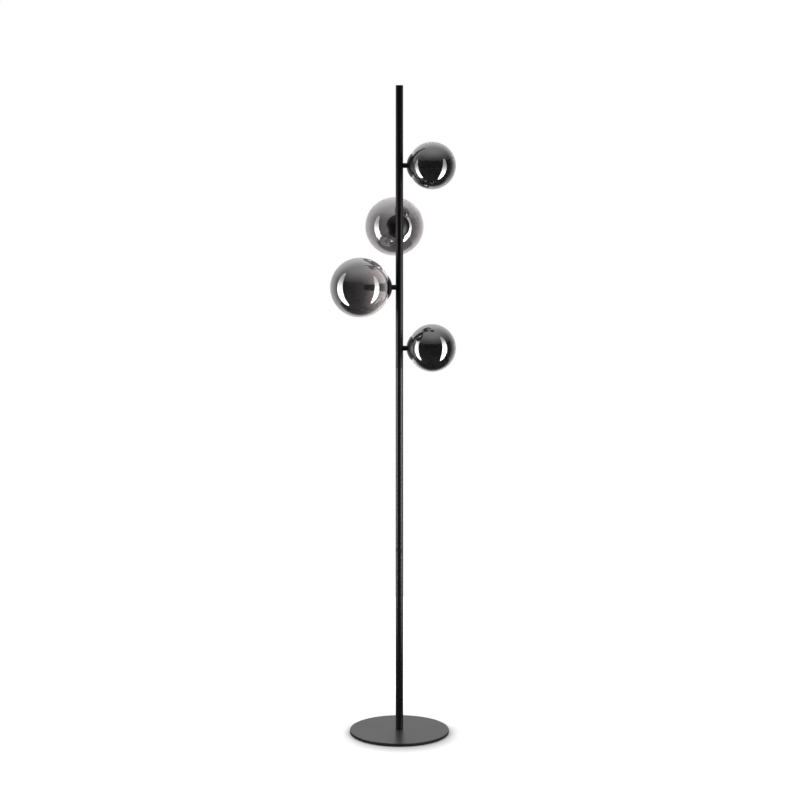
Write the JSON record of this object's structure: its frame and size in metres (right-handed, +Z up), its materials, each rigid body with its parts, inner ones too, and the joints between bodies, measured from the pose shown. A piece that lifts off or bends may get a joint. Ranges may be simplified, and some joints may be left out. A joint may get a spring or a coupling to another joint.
{
  "type": "globe floor lamp",
  "caption": "Slim black floor lamp: a round flat base, a straight sectional pole and short side arms that each carry a smoked glass globe in a dished cup.",
  "frame": {"origin": "on the floor under the pole's axis, at the centre of the round base's underside", "axes": "+Z up along the pole; +X along the top arm, to the right as the lamp is seen; +Y to the back, where the cord enters"},
  "size_m": [0.3196, 0.3006, 1.635],
  "materials": {
    "black_metal": "satin black powder coat",
    "cup_metal": "satin black powder coat on a spun dish",
    "felt_pad": "pressed black felt",
    "steel": "zinc-plated steel",
    "rubber": "matt black rubber",
    "lead_sheath": "black flexible sheath",
    "white_plastic": "white moulded plastic",
    "holder_plastic": "black moulded plastic",
    "insert_plastic": "dark heat-resistant moulding",
    "contact_brass": "bare strip",
    "smoked_glass": "blown smoked glass with a half-mirrored coating"
  },
  "bodies": {
    "stand": {"base_plate": "black_metal", "base_pad": "felt_pad", "base_washer": "steel", "base_bolt": "steel", "foot_plug": "steel", "pole_lower": "black_metal", "pole_middle": "black_metal", "pole_upper": "black_metal", "pole_joint_lower": "black_metal", "pole_joint_upper": "black_metal", "top_cap": "black_metal", "cable_bush": "rubber", "supply_lead": "lead_sheath", "lead_connector": "white_plastic", "arm_1": "black_metal", "arm_nipple_1": "steel", "cup_nut_1": "steel", "shade_cup_1": "cup_metal", "lampholder_body_1": "holder_plastic", "lampholder_sleeve_1": "holder_plastic", "socket_insert_1": "insert_plastic", "socket_contacts_1": "contact_brass", "lamp_lead_1": "lead_sheath", "arm_2": "black_metal", "arm_nipple_2": "steel", "cup_nut_2": "steel", "shade_cup_2": "cup_metal", "lampholder_body_2": "holder_plastic", "lampholder_sleeve_2": "holder_plastic", "socket_insert_2": "insert_plastic", "socket_contacts_2": "contact_brass", "lamp_lead_2": "lead_sheath", "arm_3": "black_metal", "arm_nipple_3": "steel", "cup_nut_3": "steel", "shade_cup_3": "cup_metal", "lampholder_body_3": "holder_plastic", "lampholder_sleeve_3": "holder_plastic", "socket_insert_3": "insert_plastic", "socket_contacts_3": "contact_brass", "lamp_lead_3": "lead_sheath", "arm_4": "black_metal", "arm_nipple_4": "steel", "cup_nut_4": "steel", "shade_cup_4": "cup_metal", "lampholder_body_4": "holder_plastic", "lampholder_sleeve_4": "holder_plastic", "socket_insert_4": "insert_plastic", "socket_contacts_4": "contact_brass", "lamp_lead_4": "lead_sheath"},
    "glass_globe_1": {"globe_1": "smoked_glass", "globe_collar_1": "holder_plastic"},
    "glass_globe_2": {"globe_2": "smoked_glass", "globe_collar_2": "holder_plastic"},
    "glass_globe_3": {"globe_3": "smoked_glass", "globe_collar_3": "holder_plastic"},
    "glass_globe_4": {"globe_4": "smoked_glass", "globe_collar_4": "holder_plastic"}
  },
  "joints": [
    {"name": "globe_pull_1", "type": "slide", "parent": "stand", "child": "glass_globe_1", "axis": [1, 0, 0], "range_m": [0, 0.07]},
    {"name": "globe_pull_2", "type": "slide", "parent": "stand", "child": "glass_globe_2", "axis": [0, 1, 0], "range_m": [0, 0.07]},
    {"name": "globe_pull_3", "type": "slide", "parent": "stand", "child": "glass_globe_3", "axis": [-1, 0, 0], "range_m": [0, 0.07]},
    {"name": "globe_pull_4", "type": "slide", "parent": "stand", "child": "glass_globe_4", "axis": [1, 0, 0], "range_m": [0, 0.07]}
  ]
}
